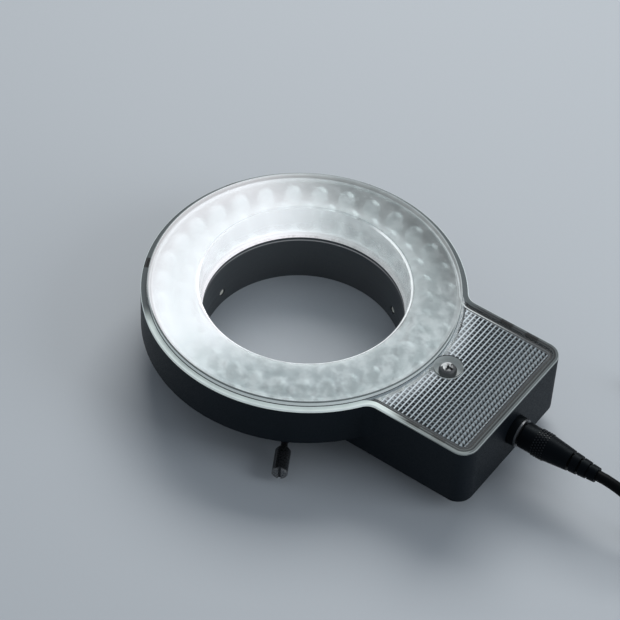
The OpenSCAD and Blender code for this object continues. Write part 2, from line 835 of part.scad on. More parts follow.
// Moulded plug body along +X, with its front face at x = 0
module plug_shape() {
    relief_x = grip_l + taper_l;
    d_step = (relief_first_d - relief_last_d) / (relief_rings * 2 - 1);
    rotate([0, 90, 0]) rotate_extrude() polygon(concat(
        [
            [0, 0],
            [plug_d / 2 - grip_edge, 0],
            [plug_d / 2, grip_edge],
            [plug_d / 2, grip_l],
            [plug_end_d / 2, relief_x]
        ],
        [
            for (i = [0:relief_rings - 1])
                let (x = relief_x + i * relief_step, d = relief_first_d - 2 * i * d_step)
                for (p = [[lead_r + 0.5, x], [lead_r + 0.5, x + relief_groove],
                    [d / 2, x + relief_groove], [(d - d_step) / 2, x + relief_step]]) p
        ],
        [[0, plug_l]]
    ));
}

// Barrel contact in front of the plug body
module barrel_shape() {
    rotate([0, -90, 0]) difference() {
        cylinder(d = barrel_d, h = barrel_l);
        translate([0, 0, fit_gap]) cylinder(r = pin_d / 2 + run_gap, h = barrel_l);
    }
}

module plug_body() {
    color(black) translate([plug_x, 0, socket_z]) plug_shape();
}

module plug_barrel() {
    color(bright) translate([plug_x, 0, socket_z]) barrel_shape();
}

module lead_cable() {
    color(black) tube(cable_route, lead_r, cord_sides);
}

module lead_coil() {
    color(black) tube(coil_route, lead_r, coil_sides);
}

module lead_tail() {
    color(black) tube(tail_route, lead_r, cord_sides);
}

// Upright rectangle with round corners, x outwards and y up
module tie_outline(x0, x1, y0, y1, r) {
    translate([x0 + r, y0]) square([x1 - x0 - 2 * r, y1 - y0]);
    translate([x0, y0 + r]) square([x1 - x0, y1 - y0 - 2 * r]);
    for (x = [x0 + r, x1 - r])
        for (y = [y0 + r, y1 - r]) translate([x, y]) circle(r);
}

module coil_tie() {
    in_r = coil_in_r - lead_r - tie_gap;
    out_r = coil_out_r + lead_r + tie_gap;
    top_z = coil_end_z + lead_r + tie_gap;
    corner = 1.2;
    color([0.16, 0.16, 0.17]) translate([coil_x, coil_y + tie_w / 2, 0]) rotate([90, 0, 0])
        linear_extrude(tie_w) difference() {
            tie_outline(in_r - tie_t, out_r + tie_t, 0, top_z + tie_t, corner + tie_t);
            tie_outline(in_r, out_r, tie_t, top_z, corner);
        }
}

module far_plug_body() {
    color(black) translate([far_plug_x - plug_l, coil_y * 2, far_plug_z]) plug_shape();
}

module far_plug_barrel() {
    color(bright) translate([far_plug_x - plug_l, coil_y * 2, far_plug_z]) barrel_shape();
}

housing();
mounting_collar();
collar_screws();
cover();
cover_screw();
cover_insert();
lamp_board();
lamp_segment(1);  // lamp_segment_1
lamp_segment(2);  // lamp_segment_2
lamp_segment(3);  // lamp_segment_3
lamp_segment(4);  // lamp_segment_4
lamp_board_screws();
lamp_resistors();
lamp_connector();
lamp_harness();
driver_board();
driver_board_screws();
driver_header();
driver_inductor();
driver_capacitors();
driver_chips();
dc_socket();
socket_bezel();
socket_pin();
thumbscrew(1);  // thumbscrew_1
thumbscrew(2);  // thumbscrew_2
thumbscrew(3);  // thumbscrew_3
thumbscrew_tip(1);  // thumbscrew_tip_1
thumbscrew_tip(2);  // thumbscrew_tip_2
thumbscrew_tip(3);  // thumbscrew_tip_3
plug_body();
plug_barrel();
lead_cable();
lead_coil();
lead_tail();
coil_tie();
far_plug_body();
far_plug_barrel();
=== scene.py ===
"""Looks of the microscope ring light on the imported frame: finishes, lead, cover, prisms and grip dots."""
import math
from functools import cached_property

import bmesh
import bpy
from mathutils import Matrix, Vector


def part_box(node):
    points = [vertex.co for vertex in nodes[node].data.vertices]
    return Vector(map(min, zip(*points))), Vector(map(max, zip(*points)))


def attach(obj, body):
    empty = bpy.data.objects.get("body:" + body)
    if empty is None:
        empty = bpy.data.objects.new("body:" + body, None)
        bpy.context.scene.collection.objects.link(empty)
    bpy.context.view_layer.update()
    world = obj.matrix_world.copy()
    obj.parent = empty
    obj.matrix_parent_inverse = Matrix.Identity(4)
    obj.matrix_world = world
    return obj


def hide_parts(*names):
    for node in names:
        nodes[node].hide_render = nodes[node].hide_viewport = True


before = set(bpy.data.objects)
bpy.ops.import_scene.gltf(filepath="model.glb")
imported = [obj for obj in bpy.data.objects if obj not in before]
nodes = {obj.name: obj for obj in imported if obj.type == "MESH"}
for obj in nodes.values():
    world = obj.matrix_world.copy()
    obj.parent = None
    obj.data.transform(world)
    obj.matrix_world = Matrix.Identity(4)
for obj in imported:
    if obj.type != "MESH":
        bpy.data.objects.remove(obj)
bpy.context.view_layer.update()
scene = bpy.context.scene

MM = 0.001


def extent(node):
    """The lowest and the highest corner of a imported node, in millimetres to the micron."""
    return [[round(value / MM, 3) for value in corner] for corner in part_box(node)]


def halfway(low, high):
    return (low + high) / 2


# Camera, solved from the photograph: angles in degrees, lengths in metres, lens in millimetres
CAMERA_AZIMUTH = 33.645
CAMERA_ELEVATION = 46.484
CAMERA_ROLL = 3.164
CAMERA_DISTANCE = 765.83 * MM
CAMERA_TARGET = Vector((0, 0, 29.46 * MM))
CAMERA_LENS = 146.23
CAMERA_SHIFT = (0.0080, -0.0440)
CAMERA_CLIP = (0.01, 20)

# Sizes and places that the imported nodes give, in millimetres
cover_low, cover_high = extent("cover")
plug_low, plug_high = extent("plug_body")
far_plug_low, far_plug_high = extent("far_plug_body")
cable_low, cable_high = extent("lead_cable")
RING_R = -cover_low[0]
COLLAR_TOP = cover_low[2]
BOX_END_X = cover_high[0]
COVER_TOP = cover_high[2]
COVER_UNDERSIDE = extent("housing")[1][2]
LAMP_TOP_Z = extent("lamp_segment_1")[1][2]
KNOB_END_R = -extent("thumbscrew_2")[0][0]
PLUG_X = plug_low[0]
PLUG_END_X = plug_high[0]
PLUG_R = plug_high[1]
SOCKET_Z = halfway(plug_low[2], plug_high[2])
FAR_PLUG_X = far_plug_low[0]
FAR_PLUG_END_X = far_plug_high[0]
FAR_PLUG_Y = halfway(far_plug_low[1], far_plug_high[1])
FAR_PLUG_Z = halfway(far_plug_low[2], far_plug_high[2])

# Cover, in millimetres: a frosted raised ring with its funnel, and a clear plate round it and over the box
BORE_R = 31.2
FUNNEL_TOP_R = 32.2
FUNNEL_EDGE_R = 1.6
FUNNEL_T = 1.4
TIER_INSET = 2
TIER_R = RING_R - TIER_INSET
TIER_T = 1.4
TIER_IN_R = TIER_R - TIER_T
TIER_EDGE_R = 0.35
TIER_EDGE_MIDDLE = 0.1
TIER_CREASE_H = 0.2
PLATE_GAP = 0.05
PLATE_R = TIER_R + PLATE_GAP
PLATE_T = 1.2
PLATE_UNDERSIDE = COVER_UNDERSIDE - PLATE_T / 2
FLANGE_TOP = COVER_UNDERSIDE + PLATE_T / 2
FLANGE_EDGE_INSET = 0.22
FLANGE_EDGE_DROP = 0.18
FLANGE_W = 0.9
FLANGE_INSIDE_W = 1.4
FLANGE_LINE_W = 1.8
BOX_HALF_W = 26.4
BOX_CORNER_R = 5
NECK_R = 4.5
RIB_OUT = 2.1
RIB_T = 1.2
RIB_IN = RIB_OUT + RIB_T
RIB_TOP = COVER_UNDERSIDE - 0.02
RIB_DEPTH = 2
RIB_BOTTOM = COVER_UNDERSIDE - RIB_DEPTH
RIB_SIDE_W = 0.25
RIB_LIT_W = 0.65
COVER_SCREW_X = 52.6
SCREW_HOLE_R = 1.7
RECESS_R = 4.5
RECESS_DEPTH = 2.5
RECESS_FLOOR = FLANGE_TOP - RECESS_DEPTH
RECESS_CREASE_H = 0.35
CUP_T = 1.2
CUP_R = RECESS_R + CUP_T
CUP_BOTTOM = RECESS_FLOOR - CUP_T


def make_camera():
    azimuth = math.radians(CAMERA_AZIMUTH)
    elevation = math.radians(CAMERA_ELEVATION)
    roll = math.radians(CAMERA_ROLL)
    level = Vector((math.cos(azimuth), math.sin(azimuth), 0))
    outward = Vector((math.sin(azimuth), -math.cos(azimuth), 0))
    back = outward * math.cos(elevation) + Vector((0, 0, math.sin(elevation)))
    upright = back.cross(level)
    right = level * math.cos(roll) + upright * math.sin(roll)
    up = upright * math.cos(roll) - level * math.sin(roll)
    data = bpy.data.cameras.new("camera")
    data.lens = CAMERA_LENS
    data.shift_x, data.shift_y = CAMERA_SHIFT
    data.clip_start, data.clip_end = CAMERA_CLIP
    camera = bpy.data.objects.new("camera", data)
    turn = Matrix((right, up, back)).transposed()
    camera.matrix_world = Matrix.Translation(CAMERA_TARGET + back * CAMERA_DISTANCE) @ turn.to_4x4()
    scene.collection.objects.link(camera)
    scene.camera = camera


def rgb(red, green, blue):
    return (red, green, blue, 1.0)


WHITE = rgb(1, 1, 1)
BLACK = rgb(0, 0, 0)


class Look:
    """A material, with short calls for the nodes that the finishes share."""

    def __init__(self, name):
        self.material = bpy.data.materials.new(name)
        self.material.use_nodes = True
        self.tree = self.material.node_tree
        self.shader = self.tree.nodes["Principled BSDF"]
        self.place = self.node("ShaderNodeTexCoord").outputs["Object"]

    def node(self, kind, **settings):
        made = self.tree.nodes.new(kind)
        for key, value in settings.items():
            setattr(made, key, value)
        return made

    def feed(self, socket, value):
        """Links a node's output to a socket, or sets the socket's own value."""
        if isinstance(value, bpy.types.NodeSocket):
            self.tree.links.new(value, socket)
        else:
            socket.default_value = value

    def set(self, **values):
        """Feeds the shader's inputs, with an underscore for each blank in their names."""
        for key, value in values.items():
            self.feed(self.shader.inputs[key.replace("_", " ")], value)

    def glow(self, colour, strength, sampled=True):
        """Lets the surface give off light. Faint light needn't be sampled as a lamp of its own."""
        self.set(Emission_Color=colour, Emission_Strength=strength)
        if not sampled:
            self.material.cycles.emission_sampling = "NONE"

    def math(self, operation, a, b=0.0):
        made = self.node("ShaderNodeMath", operation=operation)
        self.feed(made.inputs[0], a)
        self.feed(made.inputs[1], b)
        return made.outputs[0]

    def plus(self, total, *others):
        for other in others:
            total = self.math("ADD", total, other)
        return total

    def times(self, product, *others):
        for other in others:
            product = self.math("MULTIPLY", product, other)
        return product

    def rest(self, share):
        """What a share leaves of one."""
        return self.math("SUBTRACT", 1.0, share)

    def ramp(self, value, low, high, out_low=0.0, out_high=1.0):
        """Smooth step of value from low to high, as out_low to out_high."""
        made = self.node("ShaderNodeMapRange", interpolation_type="SMOOTHSTEP")
        for socket, number in zip(made.inputs, (value, low, high, out_low, out_high)):
            self.feed(socket, number)
        return made.outputs[0]

    def switch(self, share, off, on):
        """Smooth step from off to on as share goes from nought to one."""
        return self.ramp(share, 0, 1, off, on)

    def band(self, value, rise, fall):
        """One from the end of rise to the start of fall, and nought outside both, with smooth steps."""
        return self.times(self.ramp(value, *rise), self.ramp(value, *fall, 1.0, 0.0))

    def windows(self, value, centres, half, soft=0.2):
        """One within half of a centre and nought elsewhere, with soft sides."""
        shares = []
        for centre in centres:
            away = self.math("ABSOLUTE", self.math("SUBTRACT", value, centre))
            shares.append(self.ramp(away, half * (1 - soft), half * (1 + soft), 1.0, 0.0))
        return self.plus(*shares)

    def mix(self, share, a, b):
        """Mixes two colours. A colour mix has its factor at input 0, its colours at 6 and 7."""
        made = self.node("ShaderNodeMix", data_type="RGBA")
        for number, value in ((0, share), (6, a), (7, b)):
            self.feed(made.inputs[number], value)
        return made.outputs[2]

    def noise(self, scale, detail=3.0, stretch=None):
        made = self.node("ShaderNodeTexNoise")
        made.inputs["Scale"].default_value = scale
        made.inputs["Detail"].default_value = detail
        place = self.place
        if stretch:
            mapping = self.node("ShaderNodeMapping")
            mapping.inputs["Scale"].default_value = stretch
            self.feed(mapping.inputs["Vector"], self.place)
            place = mapping.outputs[0]
        self.feed(made.inputs["Vector"], place)
        return made.outputs[0]

    def vary(self, noise, low, high, spread=0.2):
        """Values from low to high for a noise, most of which lies within spread of a half."""
        return self.ramp(noise, 0.5 - spread, 0.5 + spread, low, high)

    def bump(self, height, strength, depth):
        """Roughens the surface by a height, with depth in millimetres."""
        made = self.node("ShaderNodeBump")
        made.inputs["Strength"].default_value = strength
        made.inputs["Distance"].default_value = depth * MM
        self.feed(made.inputs["Height"], height)
        self.set(Normal=made.outputs[0])

    def reach(self, x, y):
        """Distance of a place from the origin, seen from above."""
        return self.math("SQRT", self.plus(self.times(x, x), self.times(y, y)))

    def towards(self, direction, x, y):
        """How far a place lies from the origin in a direction, seen from above."""
        return self.plus(self.times(x, direction[0]), self.times(y, direction[1]))

    @cached_property
    def axes(self):
        """The coordinates on the object, in millimetres."""
        split = self.node("ShaderNodeSeparateXYZ")
        self.feed(split.inputs[0], self.place)
        return [self.times(metres, 1 / MM) for metres in split.outputs]

    x = property(lambda self: self.axes[0])
    y = property(lambda self: self.axes[1])
    z = property(lambda self: self.axes[2])

    @cached_property
    def radius(self):
        """Distance from the ring's axis, in millimetres."""
        return self.reach(self.x, self.y)

    @cached_property
    def angle(self):
        """Angle round the ring's axis, from -180 to 180 degrees."""
        return self.times(self.math("ARCTAN2", self.y, self.x), 180 / math.pi)


# How far the gloss strays to each side, and how many times coarser than the grain the colour wanders
GLOSS_SPREAD = 0.08
WANDER_SIZE = 12


def finish(
    name, colour, other, roughness, metallic=0.0, grain=900, bump=0.15, depth=0.03, shine=0.5, tint=WHITE,
):
    """A finish whose colour and gloss wander between two values, over a fine grain."""
    look = Look(name)
    wander = look.noise(grain / WANDER_SIZE, 4.0)
    fine = look.noise(grain)
    look.set(Base_Color=look.mix(wander, colour, other), Metallic=metallic)
    look.set(Specular_IOR_Level=shine, Specular_Tint=tint)
    look.set(Roughness=look.vary(fine, roughness - GLOSS_SPREAD, roughness + GLOSS_SPREAD, spread=0.25))
    look.bump(fine, bump, depth)
    return look.material


# The half of the ring that is switched on: angles over which the light of the inner row of lamps comes and
# goes, and how much later it comes and sooner it goes over the outer row
LAMP_ROWS = (37, 44)
LIT_START = (92, 148)
LIT_END = (240, 287)
LIT_LAG = 8
LIT_LEAD = 4
# Direction of the front of the outline, seen from above, and the shares between which its painted glow
# begins
FRONT = (0.55, -0.83)
FRONT_START = (0.22, 0.42)


def lit_share(look):
    """How much of the lamps' light reaches a place: half of the ring is switched on."""
    whole = look.plus(look.angle, look.times(look.math("LESS_THAN", look.angle, 0.0), 360.0))
    late = look.math("SUBTRACT", whole, look.ramp(look.radius, *LAMP_ROWS, 0.0, LIT_LAG))
    early = look.plus(whole, look.ramp(look.radius, *LAMP_ROWS, 0.0, LIT_LEAD))
    return look.times(look.ramp(late, *LIT_START), look.ramp(early, *LIT_END, 1.0, 0.0))


def along_share(look):
    """How far a place lies towards the front of the outline, from minus one to one."""
    return look.math("DIVIDE", look.towards(FRONT, look.x, look.y), look.radius)


def painted_glow_share(look):
    """How much painted glow a place gets, standing in for light carried in the moulding: the front of the
    outline gets it.
    """
    return look.ramp(along_share(look), *FRONT_START)


# Places of the light and shade painted in the frosted ring: radii and heights in millimetres, angles in
# degrees, and shares of the way to the front
ROW_GAP_R = (40, 44)
FUNNEL_TURN_R = (32.3, 33.3)
TOP_START_R = (32.6, 33.6)
INNER_START_R = (32.9, 33.5)
INNER_FADE_R = (33.4, 38.5)
INNER_ALONG = (-0.6, 0.3)
HAZE_ALONG = (-0.3, 0.5)
FOOT_Z = (17.6, 21.5)
RIM_R = 32.7
RIM_HALF_W = 0.28
RIM_Z = (28.2, 28.7)
RIM_ANGLES = ((-165, -140), (74, 92))
OVER_WALL_R = 47
OVER_WALL_HALF_W = 0.7
SHADE_R = ((38.5, 43.5), (45.4, 46.8))
SHADE_ANGLES = ((18, 52), (70, 100))
# Strengths of that light
LAMP_GLOW = (0.32, 0.36)
HAZE_GLOW = (0.03, 0.07)
MOTTLE_NOISE = (0.38, 0.66)
MOTTLE_GLOW = (0.3, 1.8)
INNER_GLOW = 0.10
FUNNEL_GLOW = 0.15
FOOT_GLOW = 0.26
RIM_GLOW = 0.45
OVER_WALL_GLOW = 0.06
# Roughness that the top adds to the funnel's, and what the lit half adds to that, from one share to another
TOP_BLUR = 0.14
LIT_BLUR = 0.16
LIT_BLUR_START = (0.1, 0.9)


def frosted_painted_glow(look, share):
    """Glow painted in the frosted ring, standing in for the lamps' light under it and along the moulding,
    with a painted highlight on the funnel's rim.
    """
    along = along_share(look)
    # All of this is painted light: haze and mottling in the unlit half, glow over the lit lamps, at the
    # inner edge, the funnel and its foot, and over the outer wall
    mottle = look.ramp(look.noise(320, 2.0), *MOTTLE_NOISE, *MOTTLE_GLOW)
    lamps = look.times(share, look.ramp(look.radius, *ROW_GAP_R, *LAMP_GLOW))
    haze = look.times(look.ramp(along, *HAZE_ALONG, *HAZE_GLOW), look.rest(share), mottle)
    inner = look.times(
        look.ramp(look.radius, *INNER_FADE_R, INNER_GLOW, 0.0), look.ramp(look.radius, *INNER_START_R),
        look.ramp(along, *INNER_ALONG, 1.0, 0.5), look.switch(share, off=1.0, on=0.3))
    funnel = look.times(
        look.ramp(look.radius, *FUNNEL_TURN_R, FUNNEL_GLOW, 0.0), look.switch(share, off=1.0, on=0.2))
    foot = look.times(look.ramp(look.z, *FOOT_Z, FOOT_GLOW, 0.0), look.switch(share, off=0.35, on=1.0))
    # Painted highlight along the funnel's rim
    rim = look.times(
        look.windows(look.radius, [RIM_R], RIM_HALF_W), look.ramp(look.z, *RIM_Z),
        look.band(look.angle, *RIM_ANGLES), RIM_GLOW)
    over_wall = look.times(look.windows(look.radius, [OVER_WALL_R], OVER_WALL_HALF_W), OVER_WALL_GLOW)
    return look.plus(lamps, haze, inner, funnel, foot, rim, over_wall)


def frosted_finish():
    """Milky part of the cover over the lamps. It has a painted glow where the lamps under it are lit, and
    painted shade over the outer row on one side.
    """
    look = Look("frosted_cover")
    cloud = look.noise(70, 2.0)
    share = lit_share(look)
    # Painted shade: a darker base colour in a window over the outer row
    shade = look.times(look.band(look.radius, *SHADE_R), look.band(look.angle, *SHADE_ANGLES))
    milk = look.mix(cloud, rgb(0.50, 0.56, 0.57), rgb(0.56, 0.62, 0.63))
    look.set(Base_Color=look.mix(shade, milk, rgb(0.34, 0.39, 0.40)), IOR=1.2, Transmission_Weight=0.72)
    blur = look.plus(look.ramp(share, *LIT_BLUR_START, 0.0, LIT_BLUR), TOP_BLUR)
    on_top = look.ramp(look.radius, *TOP_START_R)
    look.set(Roughness=look.plus(look.times(blur, on_top), look.vary(cloud, 0.16, 0.20)))
    look.glow(look.mix(share, rgb(0.95, 0.98, 1.0), rgb(1.0, 0.96, 1.0)), frosted_painted_glow(look, share))
    return look.material


MILKY_R = (TIER_R + 0.4, TIER_R + 1.4)


def clear_finish():
    """Clear moulding, milky in the band where it meets the frosted ring."""
    look = Look("clear_cover")
    flow = look.noise(90, 2.0)
    look.set(Base_Color=look.mix(flow, rgb(0.60, 0.68, 0.72), rgb(0.66, 0.74, 0.78)), IOR=1.49)
    look.set(Alpha=look.ramp(look.radius, *MILKY_R, 0.45, 0.03), Roughness=0.12)
    return look.material


# Tongues under the flange, by angle round the ring and by place along the box, and half their width
TONGUE_ANGLES = (103, 154, -154, -103)
TONGUE_HALF_ANGLE = 2.4
TONGUE_XS = (RING_R + 7, RING_R + 16)
TONGUE_HALF_W = 2.2
# Places along the box over which the flange, the edge and the rib change
FLANGE_GREY_X = (40, 50)
FLANGE_BOX_X = (46, 56)
FLANGE_END_X = (BOX_END_X - 1.6, BOX_END_X - 0.9)
FLANGE_END_GLOW = 0.28
EDGE_FADE_X = (46, 68)
RIB_FADE_X = (44, 66)
RIB_GLOW = (0.60, 0.04)
# How much of an edge's colour is left in its specks
SPECK_TONE = 0.88


def flange_finish(name, box_glow, box_grey, tongue_shade_colour):
    """The cover's flange: painted bright colour and glow in front, where light carried in it comes out, and
    greyer behind.
    It has dark patches of painted shade over the tongues."""
    look = Look(name)
    on_box = look.ramp(look.x, *FLANGE_BOX_X, 1.0, box_glow)
    at_end = look.ramp(look.x, *FLANGE_END_X, 1.0, FLANGE_END_GLOW)
    share = look.times(painted_glow_share(look), on_box, at_end)
    # Painted shade over the tongues under the flange
    tongue_shade = look.plus(
        look.windows(look.angle, TONGUE_ANGLES, TONGUE_HALF_ANGLE),
        look.windows(look.x, TONGUE_XS, TONGUE_HALF_W))
    clear = look.mix(look.ramp(look.x, *FLANGE_GREY_X), rgb(0.145, 0.170, 0.178), box_grey)
    grey = look.mix(tongue_shade, clear, tongue_shade_colour)
    # Painted light in front: a paler colour, and a glow below
    look.set(Base_Color=look.mix(share, grey, rgb(0.62, 0.70, 0.68)), Roughness=0.3)
    look.set(Alpha=look.switch(share, off=0.80, on=1.0), Specular_IOR_Level=0.05)
    look.glow(rgb(0.90, 1.0, 0.97), look.times(share, look.vary(look.noise(260, 2.0), 0.20, 0.26)))
    return look.material


def rib_finish():
    """The rib under the plate, with a painted glow for the lamps' light that it carries away from the ring.
    """
    look = Look("cover_rib")
    speck = look.noise(400, 2.0)
    # Painted glow, fading away from the ring and dimmed at the front
    far = look.ramp(look.x, *RIB_FADE_X, *RIB_GLOW)
    look.set(Base_Color=look.mix(speck, rgb(0.044, 0.054, 0.062), rgb(0.034, 0.042, 0.049)))
    look.set(Roughness=0.3, Specular_IOR_Level=0.05)
    look.glow(rgb(0.90, 0.98, 1.0), look.times(far, look.switch(painted_glow_share(look), off=1.0, on=0.1)))
    return look.material


def edge_finish(name, colour, glow, front_glow=None, far_share=1.0):
    """An edge or wall of the clear moulding with a painted glow where it would catch the light. The front of
    the outline may get another painted glow, and far along the box only far_share of the colour and the glow
    may be left, as painted shade."""
    look = Look(name)
    dull = rgb(*(part * SPECK_TONE for part in colour[:3]))
    tone = look.mix(look.noise(400, 2.0), colour, dull)
    light = glow
    if front_glow is not None:
        light = look.switch(painted_glow_share(look), off=glow, on=front_glow)
    # Painted shade far along the box: what is left of the colour and the glow falls off
    if far_share < 1:
        far_shade = look.ramp(look.x, *EDGE_FADE_X, 0.0, 1 - far_share)
        tone = look.mix(far_shade, tone, BLACK)
        light = look.times(light, look.rest(far_shade))
    look.set(Base_Color=tone, Roughness=0.25, Specular_IOR_Level=0.08)
    look.glow(rgb(0.90, 0.98, 1.0), light)
    return look.material


# Painted light on the lamps' lenses: heights in millimetres, shares of the way to the front, the direction
# that the painted glint faces, where the painted limb and glint begin, and strengths
LENS_Z = (19, LAMP_TOP_Z)
LENS_GLOW = (0.15, 0.12)
LENS_ALONG = (-0.1, 0.4)
LENS_FRONT_GLOW = 0.16
LIMB_Z = (22, 23.5)
LIMB_START = (0.45, 0.85)
LIMB_GLOW = (0.04, 0.55)
GLINT = (0.35, 0.45, 0.82)
GLINT_START = (0.80, 0.97)
GLINT_ALONG = (-0.5, 0.2)
GLINT_GLOW = (0.9, 0.42)


def lamp_finish():
    """Water clear lens with a painted glint and a painted pale limb, which follows the view as in glass, and
    a painted glow on its body. It shines where its half of the ring is lit."""
    look = Look("lamp")
    core = look.noise(600, 2.0)
    share = lit_share(look)
    along = along_share(look)
    # Painted glow on the lens's body, lighter towards the front
    body = look.plus(
        look.ramp(look.z, *LENS_Z, *LENS_GLOW), look.ramp(along, *LENS_ALONG, 0.0, LENS_FRONT_GLOW))
    turned_away = look.node("ShaderNodeLayerWeight").outputs["Facing"]
    limb = look.times(look.ramp(turned_away, *LIMB_START), look.ramp(look.z, *LIMB_Z, *LIMB_GLOW))
    facing = look.node("ShaderNodeVectorMath", operation="DOT_PRODUCT")
    look.feed(facing.inputs[0], look.node("ShaderNodeNewGeometry").outputs["Normal"])
    look.feed(facing.inputs[1], GLINT)
    glint = look.times(
        look.ramp(facing.outputs["Value"], *GLINT_START), look.ramp(along, *GLINT_ALONG, *GLINT_GLOW),
        look.switch(share, off=1.0, on=0.2))
    lit = look.times(share, look.vary(core, 0.10, 0.15, spread=0.3))
    look.set(Base_Color=look.mix(core, rgb(0.44, 0.48, 0.49), rgb(0.52, 0.56, 0.56)), Roughness=0.15)
    look.glow(rgb(0.94, 0.99, 1.0), look.plus(glint, body, limb, lit), sampled=False)
    return look.material


# Painted glow on the lamp board: radii in millimetres over which it fades, its strengths there, and what the
# lit half adds
LAMP_BOARD_R = (37, 46)
LAMP_BOARD_GLOW = (0.22, 0.05)
LAMP_BOARD_LIT = 0.12


def lamp_board_finish():
    """White solder resist with pale tracks, and a painted glow that stands in for the light of the lamps on
    it.
    """
    look = Look("white_board")
    tracks = look.noise(1.0, 1.0, stretch=(260, 260, 10))
    painted_glow_all_round = look.ramp(look.radius, *LAMP_BOARD_R, *LAMP_BOARD_GLOW)
    light = look.plus(look.times(lit_share(look), LAMP_BOARD_LIT), painted_glow_all_round)
    look.set(Base_Color=look.mix(tracks, rgb(0.66, 0.70, 0.69), rgb(0.82, 0.84, 0.83)), Roughness=0.4)
    look.glow(rgb(0.90, 0.97, 1.0), light, sampled=False)
    return look.material


def driver_board_finish():
    """Green solder resist with tracks showing through it."""
    look = Look("green_board")
    resist = rgb(0.02, 0.13, 0.06)
    tracks = look.node("ShaderNodeTexBrick")
    look.feed(tracks.inputs["Vector"], look.place)
    tracks.inputs["Scale"].default_value = 220
    tracks.inputs["Mortar Size"].default_value = 0.04
    tracks.inputs["Color1"].default_value = resist
    tracks.inputs["Color2"].default_value = resist
    tracks.inputs["Mortar"].default_value = rgb(0.05, 0.22, 0.10)
    look.set(Base_Color=tracks.outputs["Color"], Roughness=look.vary(look.noise(600), 0.3, 0.42))
    look.bump(tracks.outputs["Fac"], 0.2, depth=0.04)
    return look.material


# Painted highlights on the screw's head: direction from its axis, middle and half width of the band,
# strength
SCREW_HIGHLIGHTS = (
    ((-0.82, 0.57), 1.95, 0.40, 0.55),
    ((-0.95, -0.30), 1.20, 0.35, 0.45),
)
SCREW_HIGHLIGHT_START = (0.45, 0.75)


def screw_finish():
    """Satin nickel, with painted highlights on the far shoulder of the head and beside the cross."""
    look = Look("satin_nickel")
    fine = look.noise(1200)
    out_x = look.math("SUBTRACT", look.x, COVER_SCREW_X)
    reach = look.reach(out_x, look.y)
    lights = []
    for direction, middle, half, strength in SCREW_HIGHLIGHTS:
        share = look.math("DIVIDE", look.towards(direction, out_x, look.y), reach)
        side = look.ramp(share, *SCREW_HIGHLIGHT_START, 0.0, strength)
        lights.append(look.times(side, look.windows(reach, [middle], half)))
    look.set(Base_Color=look.mix(fine, rgb(0.11, 0.115, 0.12), rgb(0.15, 0.155, 0.16)), Metallic=1.0)
    look.set(Roughness=look.vary(fine, 0.46, 0.56, spread=0.25))
    look.glow(rgb(0.92, 0.98, 1.0), look.plus(*lights))
    look.bump(fine, 0.05, depth=0.03)
    return look.material


KNOB_BARE_R = (KNOB_END_R - 0.75, KNOB_END_R - 0.6)


def knob_finish():
    """Black oxide, with the turned end left bare."""
    look = Look("black_oxide")
    bare = look.ramp(look.radius, *KNOB_BARE_R)
    fine = look.noise(2500)
    look.set(Base_Color=look.mix(bare, rgb(0.040, 0.044, 0.048), rgb(0.16, 0.165, 0.17)), Metallic=0.6)
    look.set(Roughness=look.vary(fine, 0.22, 0.36, spread=0.25))
    look.bump(fine, 0.03, depth=0.02)
    return look.material


# Painted highlight line in the bore: its height in millimetres, half its height, and the strength of its
# glow
HIGHLIGHT_LINE_Z = COLLAR_TOP - 1.2
HIGHLIGHT_LINE_HALF_H = 0.22
HIGHLIGHT_LINE_GLOW = 0.10


def turned_finish():
    """Black anodised collar with fine turning marks round its axis and a painted highlight line below its
    upper edge.
    """
    look = Look("black_anodised")
    marks = look.noise(1.0, 2.0, stretch=(12, 12, 9000))
    black = look.mix(look.noise(1800), rgb(0.070, 0.077, 0.083), rgb(0.090, 0.098, 0.105))
    highlight_line = look.windows(look.z, [HIGHLIGHT_LINE_Z], HIGHLIGHT_LINE_HALF_H)
    look.set(Base_Color=look.mix(highlight_line, black, rgb(0.30, 0.31, 0.32)), Metallic=0.35)
    look.set(Roughness=look.vary(marks, 0.34, 0.48))
    look.glow(rgb(0.95, 0.98, 1.0), look.times(highlight_line, HIGHLIGHT_LINE_GLOW))
    look.bump(marks, 0.12, depth=0.03)
    return look.material


BLUISH = rgb(0.70, 0.88, 1.0)


